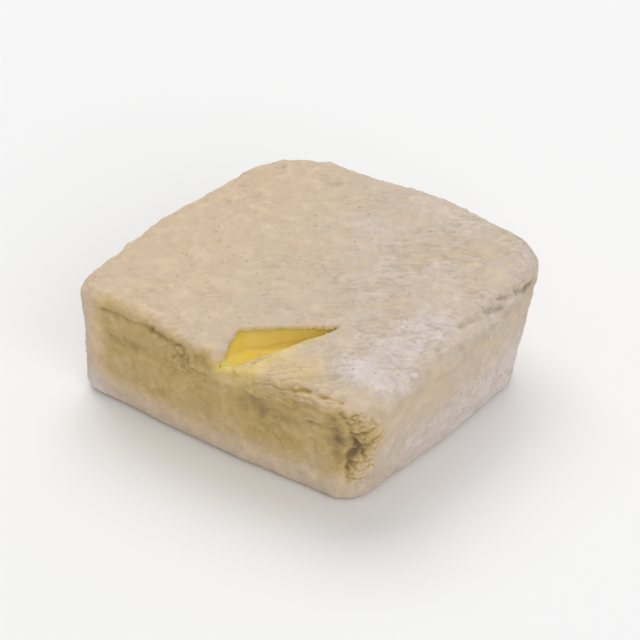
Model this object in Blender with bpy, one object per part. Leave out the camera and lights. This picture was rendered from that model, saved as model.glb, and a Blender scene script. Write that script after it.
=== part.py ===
"""One block of Turkish delight, cut by hand from a slab of lemon lokum and rolled in starch and icing sugar.

The block is a low, slightly skewed square with soft edges. Two outlines in plan give its sides: the foot
that it rests on and the shoulder just under the rim, which overhangs the foot. Each is a quadrilateral
whose corners are turned by arcs and whose sides bow out a little. The wall blends one outline into the
other and draws in between them, a quarter circle turns it under at the foot, and another turns it over at
the rim. The top is a shallow crown that follows the corners' heights. A knife nick opens its -Y rim.

+Z is up, +X runs along the longer side, and the origin is on the table under the middle of the block.
"""

from collections import namedtuple

import bmesh
import bpy
import numpy as np

MM = 0.001

# Driving dimensions, in metres.
LENGTH = 28 * MM  # along X, at the shoulder
WIDTH = 26 * MM  # along Y, at the shoulder
HEIGHT = 11.6 * MM  # of the rim above the table
CROWN = 0.5 * MM  # the middle of the top stands this much above the rim
FOOT_EDGE = 1.1 * MM  # radius of the edge between the sides and the flat foot

# The corners, anticlockwise from (-X, -Y), in millimetres: how far the shoulder and the foot lie from the
# corner of the LENGTH by WIDTH rectangle, how far the rim stands above HEIGHT, and the radius of the turn
# in plan at the shoulder and at the foot.
Corner = namedtuple("Corner", "square shoulder foot rise shoulder_turn foot_turn")
CORNERS = (
    Corner((-1, -1), (-0.9, -0.7), (-1.0, 0.8), -0.2, 2.9, 2.0),
    Corner((1, -1), (0.6, 0.0), (-1.6, 1.0), -1.1, 3.5, 2.9),
    Corner((1, 1), (0.6, 0.7), (-0.5, -2.1), 0.4, 5.3, 3.7),
    Corner((-1, 1), (0.9, 0.2), (0.8, -1.0), -0.35, 7.6, 4.1),
)

# The sides, each from its corner to the next, in millimetres: how far it bows out in plan at the shoulder
# and at the foot, the radius of the edge between it and the top, and how far it draws in at mid height.
Side = namedtuple("Side", "shoulder_bow foot_bow rim_edge waist")
SIDES = (
    Side(0.5, 0.3, 1.0, 0.4),
    Side(0.6, 0.3, 1.5, 0.1),
    Side(0.9, 1.0, 2.0, 0.1),
    Side(0.6, 0.6, 2.0, 0.0),
)

# The nick: a cut from its inner tip to its mouth, which opens over the rim of the -Y side. Its -X lip and
# its +X lip each run straight between points, given by their share of the way from tip to mouth and how
# many millimetres they lie from the line between the two.
NICK_TIP = np.array((6.3, -5.2)) * MM
NICK_MOUTH = np.array((0.3, -14.5)) * MM
NICK_FAR_LIP = ((0, 0), (0.67, 2.9), (1, 0.6))
NICK_NEAR_LIP = ((0, 0), (0.08, 0.5), (0.45, 0.9), (0.65, 1.5), (0.80, 1.9), (1, 0.8))
NICK_DEPTH = 1.3 * MM
NICK_WALL = 0.3  # share of the width that the steep wall on its -X side takes; the rest slopes gently
NICK_FULLNESS = 0.7  # below 1, the depth grows fast from either end

# Mesh steps.
COLUMNS_X = 34
COLUMNS_Y = 32
WALL_ROWS = 6
RIM_ROWS = 5
FOOT_ROWS = 3
TURN_STEPS = 16  # steps along each corner's arc, before the outline is spaced evenly
SIDE_STEPS = 24  # steps along each side between two arcs

COAT_COLOUR = (0.62, 0.50, 0.37, 1.0)
COAT_ROUGHNESS = 0.85


def unit(vectors):
    return vectors / np.linalg.norm(vectors, axis=-1, keepdims=True)


def corner_points(which):
    """The four corners of the shoulder or the foot, in plan."""
    half = np.array((LENGTH, WIDTH)) / 2
    return np.array([np.array(c.square) * half + np.array(getattr(c, which)) * MM for c in CORNERS])


def turned_corner(corner, before, after, radius):
    """The arc of this radius that touches both sides meeting at the corner."""
    to_before = unit(before - corner)
    to_after = unit(after - corner)
    half = np.arccos(to_before @ to_after) / 2
    centre = corner + unit(to_before + to_after) * radius / np.sin(half)
    start = corner + to_before * radius / np.tan(half) - centre
    angles = np.arctan2(start[1], start[0]) + np.linspace(0, np.pi - 2 * half, TURN_STEPS + 1)
    return centre + radius * np.stack([np.cos(angles), np.sin(angles)], axis=-1)


def bowed_side(start, end, bow):
    """A side without its two ends, which swells outwards as a squared sine to stand out by bow midway."""
    share = np.linspace(0, 1, SIDE_STEPS + 1)[1:-1, None]
    along = unit(end - start)
    outward = np.array((along[1], -along[0]))
    return start + (end - start) * share + outward * bow * np.sin(np.pi * share) ** 2


def spaced_evenly(points, count):
    """count + 1 points at equal steps along a polyline."""
    travelled = np.concatenate([[0], np.cumsum(np.linalg.norm(np.diff(points, axis=0), axis=1))])
    wanted = np.linspace(0, travelled[-1], count + 1)
    return np.stack([np.interp(wanted, travelled, points[:, axis]) for axis in (0, 1)], axis=-1)


def outline(which):
    """The closed outline: for each side, its columns from the middle of one corner's arc to the next's."""
    corners = corner_points(which)
    turns = [getattr(corner, which + "_turn") * MM for corner in CORNERS]
    bows = [getattr(side, which + "_bow") * MM for side in SIDES]
    arcs = [turned_corner(corners[i], corners[i - 1], corners[(i + 1) % 4], turns[i]) for i in range(4)]
    middle = TURN_STEPS // 2
    sides = []
    for i, columns in enumerate((COLUMNS_X, COLUMNS_Y, COLUMNS_X, COLUMNS_Y)):
        leaving = arcs[i]
        arriving = arcs[(i + 1) % 4]
        bowed = bowed_side(leaving[-1], arriving[0], bows[i])
        side = np.concatenate([leaving[middle:], bowed, arriving[: middle + 1]])
        sides.append(spaced_evenly(side, columns)[:-1])
    return np.concatenate(sides)


def around(values):
    """A value for each column: the sides' own at their middles, and between them in proportion."""
    starts = np.cumsum([0, COLUMNS_X, COLUMNS_Y, COLUMNS_X])
    middles = starts + np.array((COLUMNS_X, COLUMNS_Y, COLUMNS_X, COLUMNS_Y)) / 2
    count = 2 * (COLUMNS_X + COLUMNS_Y)
    return np.interp(np.arange(count), middles, values, period=count)


def outward_normals(points):
    along = unit(np.roll(points, -1, axis=0) - np.roll(points, 1, axis=0))
    return np.stack([along[:, 1], -along[:, 0]], axis=-1)


def nick_depth(plan):
    """Depth of the nick under points in plan: a V with one steep wall, running out at both ends as a sine."""
    run = NICK_MOUTH - NICK_TIP
    length = np.linalg.norm(run)
    along = run / length
    towards_x = np.array((-along[1], along[0]))
    offset = plan - NICK_TIP
    share = np.clip(offset @ along / length, 0, 1)
    far = np.interp(share, *zip(*NICK_FAR_LIP)) * MM
    near = np.interp(share, *zip(*NICK_NEAR_LIP)) * MM
    across = (offset @ towards_x + far) / np.maximum(far + near, 0.01 * MM)
    deep = np.sin(np.pi * share).clip(0, 1) ** NICK_FULLNESS
    steep = across / NICK_WALL
    gentle = (1 - across) / (1 - NICK_WALL)
    return NICK_DEPTH * deep * np.clip(np.minimum(steep, gentle), 0, 1)


def top_height(plan):
    """Height of the top over points in plan: between the corners' heights, plus the crown, less the nick."""
    x = 2 * plan[..., 0] / LENGTH
    y = 2 * plan[..., 1] / WIDTH
    rise = sum(c.rise * MM * (1 + c.square[0] * x) * (1 + c.square[1] * y) / 4 for c in CORNERS)
    crown = CROWN * np.clip(1 - x**2, 0, 1) * np.clip(1 - y**2, 0, 1)
    return HEIGHT + rise + crown - nick_depth(plan)


def side_rows():
    """The side's rows from the foot up, each a shoulder's weight, an inset, a share of the top and a lift."""
    rim_edge = around([side.rim_edge * MM for side in SIDES])
    waist = around([side.waist * MM for side in SIDES])
    rows = []
    for angle in np.linspace(0, np.pi / 2, FOOT_ROWS + 1):
        rows.append((0, FOOT_EDGE * (1 - np.sin(angle)), 0, FOOT_EDGE * (1 - np.cos(angle))))
    for share in np.linspace(0, 1, WALL_ROWS + 1)[1:]:
        lift = FOOT_EDGE - share * (FOOT_EDGE + rim_edge)
        rows.append((share, waist * np.sin(np.pi * share), share, lift))
    for angle in np.linspace(0, np.pi / 2, RIM_ROWS + 1)[1:]:
        rows.append((1, rim_edge * (1 - np.cos(angle)), 1, rim_edge * (np.sin(angle) - 1)))
    return rows


def side_rings():
    """One closed ring of points for each row of the side."""
    foot = outline("foot")
    shoulder = outline("shoulder")
    rings = []
    for weight, inset, share, lift in side_rows():
        plan = foot + (shoulder - foot) * weight
        plan = plan - outward_normals(plan) * np.reshape(inset, (-1, 1))
        rings.append(np.column_stack([plan, share * top_height(plan) + lift]))
    return rings


def top_grid(ring):
    """The top inside the last ring, by a Coons patch: its points lie between the four edges they face."""
    corners = np.cumsum([0, COLUMNS_X, COLUMNS_Y, COLUMNS_X])
    closed = np.concatenate([ring[:, :2], ring[:1, :2]])
    low_y = closed[corners[0] : corners[1] + 1]
    high_x = closed[corners[1] : corners[2] + 1]
    high_y = closed[corners[2] : corners[3] + 1][::-1]
    low_x = closed[corners[3] :][::-1]
    u = np.linspace(0, 1, COLUMNS_X + 1)[None, :, None]
    v = np.linspace(0, 1, COLUMNS_Y + 1)[:, None, None]
    plan = (1 - v) * low_y[None] + v * high_y[None] + (1 - u) * low_x[:, None] + u * high_x[:, None]
    plan = plan - (1 - v) * ((1 - u) * low_y[0] + u * low_y[-1]) - v * ((1 - u) * high_y[0] + u * high_y[-1])
    return np.concatenate([plan, top_height(plan)[..., None]], axis=-1)


def top_vertices(bm, grid, rim):
    """A grid of vertices whose border is the rim's own."""
    border = np.zeros(grid.shape[:2], int)
    border[0] = np.arange(COLUMNS_X + 1)
    border[:, -1] = COLUMNS_X + np.arange(COLUMNS_Y + 1)
    border[-1] = 2 * COLUMNS_X + COLUMNS_Y - np.arange(COLUMNS_X + 1)
    border[1:, 0] = len(rim) - np.arange(1, COLUMNS_Y + 1)
    inside = np.zeros(grid.shape[:2], bool)
    inside[1:-1, 1:-1] = True
    return [
        [bm.verts.new(grid[j, i]) if inside[j, i] else rim[border[j, i]] for i in range(COLUMNS_X + 1)]
        for j in range(COLUMNS_Y + 1)
    ]


def block_mesh():
    """The closed surface: a flat foot, the side's rings joined by quads, and the top's grid."""
    rings = side_rings()
    grid = top_grid(rings[-1])
    everything = np.concatenate([*rings, grid.reshape(-1, 3)])
    middle = (everything.min(axis=0) + everything.max(axis=0)) / 2 * (1, 1, 0)
    bm = bmesh.new()
    loops = [[bm.verts.new(point) for point in ring - middle] for ring in rings]
    bm.faces.new(loops[0][::-1])
    for lower, upper in zip(loops, loops[1:]):
        for i in range(len(lower)):
            bm.faces.new((lower[i - 1], lower[i], upper[i], upper[i - 1]))
    rows = top_vertices(bm, grid - middle, loops[-1])
    for low, high in zip(rows, rows[1:]):
        for i in range(COLUMNS_X):
            bm.faces.new((low[i], low[i + 1], high[i + 1], high[i]))
    mesh = bpy.data.meshes.new("turkish_delight")
    bm.to_mesh(mesh)
    bm.free()
    mesh.shade_smooth()
    return mesh


def coat_material():
    """The dull, cream-coloured coat of starch and icing sugar."""
    material = bpy.data.materials.new("starch_and_sugar_coat")
    material.use_nodes = True
    shader = material.node_tree.nodes["Principled BSDF"]
    shader.inputs["Base Color"].default_value = COAT_COLOUR
    shader.inputs["Roughness"].default_value = COAT_ROUGHNESS
    shader.inputs["Metallic"].default_value = 0.0
    return material


def main():
    for obj in list(bpy.data.objects):
        bpy.data.objects.remove(obj)
    block = bpy.data.objects.new("turkish_delight", block_mesh())
    block.data.materials.append(coat_material())
    bpy.context.scene.collection.objects.link(block)


main()
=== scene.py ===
"""A block of lemon Turkish delight under its coat of starch and icing sugar.

The looks of one hand-cut sweet, built round the solid that the frame holds: the dry coat with its folds and
cracks, the yellow jelly that a knife nick lays bare, and the loose grains that cling to the coat. Shapes are
worked out in millimetres, about the middle of the block's foot, and put into metres as each mesh is made.
"""

import itertools
import math
from collections import namedtuple

import bpy
import numpy as np
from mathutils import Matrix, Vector


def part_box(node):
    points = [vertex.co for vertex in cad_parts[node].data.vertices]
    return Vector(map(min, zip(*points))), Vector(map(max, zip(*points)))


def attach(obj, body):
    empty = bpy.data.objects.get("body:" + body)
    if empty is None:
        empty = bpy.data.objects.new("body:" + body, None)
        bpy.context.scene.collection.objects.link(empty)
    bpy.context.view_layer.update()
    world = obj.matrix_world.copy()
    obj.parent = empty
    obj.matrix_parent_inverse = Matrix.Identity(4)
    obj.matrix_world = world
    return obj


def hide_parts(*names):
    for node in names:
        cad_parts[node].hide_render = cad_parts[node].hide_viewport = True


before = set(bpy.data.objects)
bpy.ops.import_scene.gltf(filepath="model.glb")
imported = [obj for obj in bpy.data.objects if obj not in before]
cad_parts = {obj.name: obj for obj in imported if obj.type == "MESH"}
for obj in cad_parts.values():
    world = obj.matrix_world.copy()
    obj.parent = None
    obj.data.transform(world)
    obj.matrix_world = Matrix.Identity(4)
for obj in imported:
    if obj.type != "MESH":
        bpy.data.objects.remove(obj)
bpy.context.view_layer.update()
BLOCK = "turkish_delight"
LOW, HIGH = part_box(BLOCK)
BODY = "root"
MM = 0.001

bl_info = {
    "name": "Turkish Delight",
    "version": (1, 0, 0),
    "blender": (4, 5, 0),
    "location": "View3D > Sidebar > Sweets",
    "description": "Builds a hand-cut block of sugared lemon jelly and its stage",
    "category": "Add Mesh",
}

# The block's form in millimetres, before it is fitted to the size of the solid.
SQUARE = (28.0, 26.0)  # the nominal rectangle of its shoulder, along X and Y
RIM_HEIGHT = 11.6
CROWN = 0.5  # the middle of the top stands this much above the rim
FOOT_EDGE = 1.1  # radius of the edge between the sides and the flat foot

# The corners, anticlockwise from (-X, -Y): how far the shoulder and the foot lie from the rectangle's corner,
# how far the rim stands above RIM_HEIGHT, and the radius of the turn in plan at the shoulder and the foot.
Corner = namedtuple("Corner", "square shoulder foot rise shoulder_turn foot_turn")
CORNERS = (
    Corner((-1, -1), (-0.9, -0.7), (-1.0, 0.8), -0.2, 2.9, 2.0),
    Corner((1, -1), (0.6, 0.0), (-1.6, 1.0), -1.1, 3.5, 2.9),
    Corner((1, 1), (0.6, 0.7), (-0.5, -2.1), 0.4, 5.3, 3.7),
    Corner((-1, 1), (0.9, 0.2), (0.8, -1.0), -0.35, 7.6, 4.1),
)

# The sides, each from its corner to the next: how far it bows out in plan at the shoulder and at the foot,
# the radius of the edge between it and the top, and how far it draws in at mid height.
Side = namedtuple("Side", "shoulder_bow foot_bow rim_edge waist")
SIDES = (
    Side(0.5, 0.3, 1.0, 0.4),
    Side(0.6, 0.3, 1.5, 0.1),
    Side(0.9, 1.0, 2.0, 0.1),
    Side(0.6, 0.6, 2.0, 0.0),
)

# The nick: a cut from its inner tip to its mouth, which opens over the -Y rim. Its -X lip and its +X lip each
# run straight between points, given by their share of the way from tip to mouth and how far they lie from
# the line between the two.
NICK_TIP = np.array((6.3, -5.2))
NICK_MOUTH = np.array((0.3, -14.5))
NICK_FAR_LIP = ((0, 0), (0.67, 2.9), (1, 0.6))
NICK_NEAR_LIP = ((0, 0), (0.08, 0.5), (0.45, 0.9), (0.65, 1.5), (0.80, 1.9), (1, 0.8))
NICK_DEPTH = 1.3
NICK_WALL = 0.3  # share of the width that the steep wall on its -X side takes; the rest slopes gently
NICK_FULLNESS = 0.7  # below 1, the depth grows fast from either end

# Creases pressed into the coat, each from start to end over the surface: its width and depth, and how far
# the coat is rolled up along its upper side.
Crease = namedtuple("Crease", "start end width depth roll")
CREASES = (
    Crease((-11.8, -13.4, 10.2), (-5.7, -13.2, 10.5), 0.22, 0.34, 0.14),
    Crease((-6.6, -13.3, 10.3), (-0.2, -13.3, 10.2), 0.24, 0.32, 0.16),
    Crease((4.4, -13.2, 10.2), (7.8, -12.9, 10.3), 0.20, 0.26, 0.10),
    Crease((7.4, -12.75, 10.6), (11.8, -12.1, 10.5), 0.38, 0.48, 0.04),
    Crease((-9.7, -13.0, 7.1), (-8.1, -13.0, 6.9), 0.17, 0.22, 0.06),
    Crease((-10.8, -13.0, 7.8), (-10.0, -13.0, 7.1), 0.15, 0.16, 0.0),
    Crease((6.9, -13.1, 8.3), (11.5, -12.8, 9.3), 0.45, 0.22, 0.0),
    Crease((8.1, -13.1, 7.3), (11.5, -12.9, 8.0), 0.24, 0.30, 0.10),
    Crease((8.7, -12.8, 7.0), (8.8, -12.6, 4.2), 0.20, 0.12, 0.0),
    Crease((4.9, -13.0, 4.5), (5.8, -12.9, 3.7), 0.20, 0.18, 0.08),
    Crease((13.5, 0.2, 10.95), (14.0, 2.6, 10.75), 0.28, 0.31, 0.03),
    Crease((13.8, 2.9, 10.9), (14.3, 5.4, 10.45), 0.30, 0.34, 0.05),
    Crease((13.7, 4.9, 11.0), (14.3, 7.0, 10.7), 0.24, 0.28, 0.03),
    Crease((14.1, 6.9, 10.65), (14.4, 9.8, 10.3), 0.32, 0.38, 0.05),
    Crease((14.3, 3.0, 10.0), (14.5, 5.9, 9.8), 0.22, 0.26, 0.03),
    Crease((-9.9, -4.5, 11.6), (-7.9, -6.1, 11.6), 0.18, 0.14, 0.05),
    Crease((4.6, 1.6, 12.0), (8.2, 4.4, 12.0), 0.12, 0.12, 0.04),
    Crease((7.0, 2.6, 12.0), (9.6, 4.7, 12.0), 0.11, 0.11, 0.04),
    Crease((4.9, 4.3, 12.0), (7.7, 6.2, 12.0), 0.11, 0.10, 0.03),
    Crease((2.2, 0.6, 12.0), (5.0, 2.5, 12.0), 0.10, 0.08, 0.0),
)
# The pinched corner's groove, from the rim down to the foot.
CORNER_GROOVE = ((1.7, 10.1), (2.4, 8.9), (3.0, 6.4), (2.2, 3.9))  # sideways along SIDEWAYS, and height
SIDEWAYS = np.array((0.80, 0.60, 0.0))  # across the pinched corner, and the way the top's wrinkles run

# Randomness that is the same each run, worked out from positions.


def scrambled(cells, seed):
    """A fixed random number from 0 to 1 for each whole-number cell.

    The three coordinates are multiplied by large odd numbers and joined by exclusive or, and the result is
    multiplied and shifted into itself three times.
    """
    x, y, z = (cells[..., axis].astype(np.int64).astype(np.uint32) for axis in range(3))
    mixed = x * np.uint32(0x9E3779B1) ^ y * np.uint32(0x85EBCA77) ^ z * np.uint32(0xC2B2AE3D)
    mixed ^= np.uint32((seed * 0x27D4EB2F + 0x165667B1) & 0xFFFFFFFF)
    for shift, factor in ((15, 0x2C1B3C6D), (12, 0x297A2D39), (15, 0x85EBCA6B)):
        mixed ^= mixed >> np.uint32(shift)
        mixed *= np.uint32(factor)
    mixed ^= mixed >> np.uint32(16)
    return mixed / 2.0**32


def lumps(points, size, seed):
    """Smooth random lumps of the given size, from about -1 to 1.

    Each corner of the cell round a point has a random slope; the eight slopes, taken to the point, are
    blended by a curve that is flat at the cell's borders.
    """
    scaled = points / size
    cell = np.floor(scaled)
    within = scaled - cell
    fade = within**3 * (within * (within * 6 - 15) + 10)
    total = np.zeros(points.shape[:-1])
    for corner in itertools.product((0, 1), repeat=3):
        slope = np.stack([scrambled(cell + corner, seed * 3 + axis) for axis in range(3)], axis=-1) * 2 - 1
        weight = np.prod(np.where(corner, fade, 1 - fade), axis=-1)
        total += weight * ((within - corner) * slope).sum(axis=-1)
    return total * 1.8


def nearest_seed(points, size, seed):
    """How far each point is from the nearest of one random seed per cell, in cells, and that seed's number."""
    scaled = points / size
    cell = np.floor(scaled)
    nearest = np.full(points.shape[:-1], np.inf)
    number = np.zeros(points.shape[:-1])
    for step in itertools.product((-1, 0, 1), repeat=3):
        other = cell + step
        spot = other + np.stack([scrambled(other, seed * 5 + axis) for axis in range(3)], axis=-1)
        distance = np.linalg.norm(scaled - spot, axis=-1)
        closer = distance < nearest
        nearest = np.where(closer, distance, nearest)
        number = np.where(closer, scrambled(other, seed * 5 + 3), number)
    return nearest, number


def ease(value, low, high):
    """0 below low, 1 above high, and a smooth S between them."""
    share = np.clip((value - low) / (high - low), 0, 1)
    return share * share * (3 - 2 * share)


def between(value, low, high, soft):
    """1 from low to high, easing to 0 over the soft distance outside them."""
    return ease(value, low - soft, low) * (1 - ease(value, high, high + soft))


def hump(value, centre, width):
    """A bell of height 1 at the centre."""
    return np.exp(-(((value - centre) / width) ** 2))


# The block's form.


def unit(vectors):
    return vectors / np.maximum(np.linalg.norm(vectors, axis=-1, keepdims=True), 1e-12)


def turned_corner(corner, before, after, radius, steps=32):
    """The arc of this radius that touches both sides meeting at the corner."""
    to_before = unit(before - corner)
    to_after = unit(after - corner)
    half = np.arccos(to_before @ to_after) / 2
    centre = corner + unit(to_before + to_after) * radius / np.sin(half)
    start = corner + to_before * radius / np.tan(half) - centre
    angles = np.arctan2(start[1], start[0]) + np.linspace(0, np.pi - 2 * half, steps + 1)
    return centre + radius * np.stack([np.cos(angles), np.sin(angles)], axis=-1)


def bowed_side(start, end, bow, steps=48):
    """A side without its two ends, which swells outwards as a squared sine to stand out by bow midway."""
    share = np.linspace(0, 1, steps + 1)[1:-1, None]
    along = unit(end - start)
    outward = np.array((along[1], -along[0]))
    return start + (end - start) * share + outward * bow * np.sin(np.pi * share) ** 2


def spaced_evenly(points, count):
    """count + 1 points at equal steps along a polyline."""
    travelled = np.concatenate([[0], np.cumsum(np.linalg.norm(np.diff(points, axis=0), axis=1))])
    wanted = np.linspace(0, travelled[-1], count + 1)
    return np.stack([np.interp(wanted, travelled, points[:, axis]) for axis in (0, 1)], axis=-1)


def outline(which, columns):
    """The closed outline of the shoulder or the foot: a quadrilateral with turned corners and bowed sides.

    Each side's columns run from the middle of one corner's arc to the middle of the next, evenly spaced.
    """
    half = np.array(SQUARE) / 2
    corners = np.array([np.array(c.square) * half + getattr(c, which) for c in CORNERS])
    turns = [getattr(c, which + "_turn") for c in CORNERS]
    bows = [getattr(side, which + "_bow") for side in SIDES]
    arcs = [turned_corner(corners[i], corners[i - 1], corners[(i + 1) % 4], turns[i]) for i in range(4)]
    middle = len(arcs[0]) // 2
    sides = []
    for i in range(4):
        leaving = arcs[i]
        arriving = arcs[(i + 1) % 4]
        bowed = bowed_side(leaving[-1], arriving[0], bows[i])
        side = np.concatenate([leaving[middle:], bowed, arriving[: middle + 1]])
        sides.append(spaced_evenly(side, columns[i % 2])[:-1])
    return np.concatenate(sides)


def around(values, columns):
    """A value for each column: the sides' own at their middles, and between them in proportion."""
    counts = np.array((columns[0], columns[1], columns[0], columns[1]))
    middles = np.cumsum(counts) - counts / 2
    return np.interp(np.arange(counts.sum()), middles, values, period=counts.sum())


def outward_normals(points):
    along = unit(np.roll(points, -1, axis=0) - np.roll(points, 1, axis=0))
    return np.stack([along[:, 1], -along[:, 0]], axis=-1)


def nick_place(plan):
    """Where points in plan lie in the nick: the share of the way from tip to mouth, and across it from -X to +X."""
    run = NICK_MOUTH - NICK_TIP
    along = unit(run)
    towards_x = np.array((-along[1], along[0]))
    offset = plan - NICK_TIP
    share = np.clip(offset @ along / np.linalg.norm(run), 0, 1)
    far = np.interp(share, *zip(*NICK_FAR_LIP))
    near = np.interp(share, *zip(*NICK_NEAR_LIP))
    across = (offset @ towards_x + far) / np.maximum(far + near, 0.01)
    return share, across


def nick_cut(plan):
    """Depth of the nick as a share of NICK_DEPTH: a V with one steep wall, running out at both ends as a sine."""
    share, across = nick_place(plan)
    deep = np.sin(np.pi * share).clip(0, 1) ** NICK_FULLNESS
    steep = across / NICK_WALL
    gentle = (1 - across) / (1 - NICK_WALL)
    return deep * np.clip(np.minimum(steep, gentle), 0, 1)


def top_height(plan):
    """Height of the top over points in plan: between the corners' heights, plus the crown, less the nick."""
    x = 2 * plan[..., 0] / SQUARE[0]
    y = 2 * plan[..., 1] / SQUARE[1]
    rise = sum(c.rise * (1 + c.square[0] * x) * (1 + c.square[1] * y) / 4 for c in CORNERS)
    crown = CROWN * np.clip(1 - x**2, 0, 1) * np.clip(1 - y**2, 0, 1)
    return RIM_HEIGHT + rise + crown - NICK_DEPTH * nick_cut(plan)


def side_rings(columns, step):
    """The side's rings of points, foot to rim.

    A quarter circle at the foot, a wall that blends the foot's outline into the shoulder's while it draws
    in as a sine, and a quarter circle at the rim, each as an inset and a height for every column.
    """
    rim_edge = around([side.rim_edge for side in SIDES], columns)
    waist = around([side.waist for side in SIDES], columns)
    foot = outline("foot", columns)
    shoulder = outline("shoulder", columns)
    rings = []

    def add_ring(weight, inset, share, lift):
        plan = foot + (shoulder - foot) * weight
        plan = plan - outward_normals(plan) * np.reshape(inset, (-1, 1))
        rings.append(np.column_stack([plan, share * top_height(plan) + lift]))

    for angle in np.linspace(0, np.pi / 2, round(FOOT_EDGE * np.pi / 2 / step) + 1):
        add_ring(0, FOOT_EDGE * (1 - np.sin(angle)), 0, FOOT_EDGE * (1 - np.cos(angle)))
    for share in np.linspace(0, 1, round((RIM_HEIGHT - 3) / step) + 1)[1:]:
        add_ring(share, waist * np.sin(np.pi * share), share, FOOT_EDGE - share * (FOOT_EDGE + rim_edge))
    for angle in np.linspace(0, np.pi / 2, round(rim_edge.max() * np.pi / 2 / step) + 1)[1:]:
        add_ring(1, rim_edge * (1 - np.cos(angle)), 1, rim_edge * (np.sin(angle) - 1))
    return np.stack(rings)


def top_patch(ring, columns):
    """The top inside the last ring, by a Coons patch: points lie between the four edges that they face."""
    starts = np.cumsum([0, columns[0], columns[1], columns[0]])
    closed = np.concatenate([ring[:, :2], ring[:1, :2]])
    low_y = closed[starts[0] : starts[1] + 1]
    high_x = closed[starts[1] : starts[2] + 1]
    high_y = closed[starts[2] : starts[3] + 1][::-1]
    low_x = closed[starts[3] :][::-1]
    u = np.linspace(0, 1, columns[0] + 1)[None, :, None]
    v = np.linspace(0, 1, columns[1] + 1)[:, None, None]
    plan = (1 - v) * low_y[None] + v * high_y[None] + (1 - u) * low_x[:, None] + u * high_x[:, None]
    plan = plan - (1 - v) * ((1 - u) * low_y[0] + u * low_y[-1]) - v * ((1 - u) * high_y[0] + u * high_y[-1])
    return np.concatenate([plan, top_height(plan)[..., None]], axis=-1)


def vertex_normals(points, quads):
    """Outward normals: the sum, at each point, of the cross products of its faces' diagonals."""
    a, b, c, d = (points[quads[:, i]] for i in range(4))
    crossed = np.cross(c - a, d - b)
    total = np.zeros_like(points)
    for axis in range(3):
        weights = np.repeat(crossed[:, axis], 4)
        total[:, axis] = np.bincount(quads.ravel(), weights=weights, minlength=len(points))
    return unit(total)


Form = namedtuple("Form", "points normals quads foot")


def block_form(step):
    """The block as a closed form with points about step apart: the side's rings, then the top's inner grid."""
    columns = tuple(round(length / step) for length in SQUARE)
    rings = side_rings(columns, step)
    rows, count = rings.shape[:2]
    patch = top_patch(rings[-1], columns)
    inner = patch[1:-1, 1:-1].reshape(-1, 3)
    grid = np.empty(patch.shape[:2], int)
    last = (rows - 1) * count
    grid[0] = last + np.arange(columns[0] + 1)
    grid[:, -1] = last + columns[0] + np.arange(columns[1] + 1)
    grid[-1] = last + 2 * columns[0] + columns[1] - np.arange(columns[0] + 1)
    grid[1:, 0] = last + count - np.arange(1, columns[1] + 1)
    grid[1:-1, 1:-1] = rows * count + np.arange(len(inner)).reshape(columns[1] - 1, columns[0] - 1)
    number = np.arange(rows * count).reshape(rows, count)
    following = np.roll(number, -1, axis=1)
    band = np.stack([number[:-1], following[:-1], following[1:], number[1:]], axis=-1).reshape(-1, 4)
    top = np.stack([grid[:-1, :-1], grid[:-1, 1:], grid[1:, 1:], grid[1:, :-1]], axis=-1).reshape(-1, 4)
    points = np.concatenate([rings.reshape(-1, 3), inner])
    quads = np.concatenate([band, top])
    return Form(points, vertex_normals(points, quads), quads, number[0][::-1])


def fitted(points, form, sizes):
    """Points stretched and moved as the form is, from its own box to the asked size over the solid's foot."""
    low = form.points.min(axis=0)
    high = form.points.max(axis=0)
    middle = (np.array(LOW) + np.array(HIGH)) / 2
    wanted = np.array((sizes.length, sizes.width, sizes.height))
    centre = (low + high) / 2
    moved = (points - centre) * wanted / (high - low)
    return moved + (middle[0], middle[1], LOW.z + wanted[2] / 2)


# The coat's relief, in millimetres along the form's normals.


def facing(normals, x, y, z):
    """How squarely the surface faces a direction, from 0 to 1."""
    return np.clip(normals @ unit(np.array((x, y, z), float)), 0, 1)


def below_rim(points):
    """How far points lie below the top's own height over them."""
    return top_height(points[:, :2]) - points[:, 2]


def swelling(points):
    """Soft lumps left by cutting and handling: each smaller size of lump is flatter than the last."""
    return 0.10 * lumps(points, 8.0, 1) + 0.065 * lumps(points, 3.4, 2) + 0.05 * lumps(points, 1.5, 3)


def pressed_powder(points, normals):
    """The uneven skin of pressed powder: soft blobs where lumps pass a threshold, and two sizes of small lump.

    It is roughest on the top's -X part.
    """
    rough = 0.42 + 0.26 * facing(normals, 0, 0, 1) * ease(-points[:, 0], -3, 6)
    blobs = 0.15 * ease(lumps(points, 1.35, 6), 0.05, 0.60) + 0.12 * ease(lumps(points, 0.8, 8), 0.05, 0.60)
    return rough * (blobs - 0.06 + 0.09 * lumps(points, 0.75, 4) + 0.03 * lumps(points, 0.40, 5))


def furrows(points, size, seed):
    """Sharp valleys, down to -1, where lumps of this size pass through zero, and soft pillows between them."""
    return -(np.clip(1 - np.abs(lumps(points, size, seed)) / 0.32, 0, 1) ** 1.5)


def wrinkles(points, normals):
    """Short thin valleys where stretched lumps pass through zero, in patches over the top."""
    across = np.array((-SIDEWAYS[1], SIDEWAYS[0], 0))
    stretched = np.stack([points @ SIDEWAYS / 3.0, points @ across, points[:, 2]], axis=-1)
    bend = 0.22 * lumps(points, 1.5, 11)
    line = lumps(stretched + bend[:, None], 0.6, 12)
    valley = np.clip(1 - np.abs(line) / 0.24, 0, 1) ** 1.5
    patches = ease(lumps(points, 3.6, 13) + 0.35 * ease(points[:, 0], -2, 7), 0.0, 0.5)
    return -0.13 * valley * patches * facing(normals, 0, 0, 1)


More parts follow.
